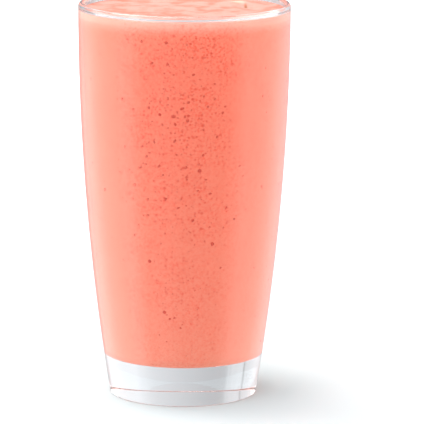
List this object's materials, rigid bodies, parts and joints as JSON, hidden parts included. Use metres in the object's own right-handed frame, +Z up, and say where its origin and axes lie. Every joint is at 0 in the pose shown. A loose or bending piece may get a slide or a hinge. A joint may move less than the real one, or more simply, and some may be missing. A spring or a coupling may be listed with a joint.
{
  "type": "bahama mama cocktail",
  "caption": "Tall clear tumbler with a thick solid base, filled almost to its rounded rim with an opaque coral-pink blended drink.",
  "frame": {"origin": "on the axis of the glass, on the plane its foot stands on", "axes": "+Z up along the axis of the glass; the pictured side faces -Y"},
  "size_m": [0.082, 0.082, 0.153],
  "materials": {
    "glass": "clear, fire-polished",
    "drink": "wet, opaque, finely speckled"
  },
  "bodies": {
    "root": {"glass": "glass", "drink": "drink"}
  },
  "joints": []
}
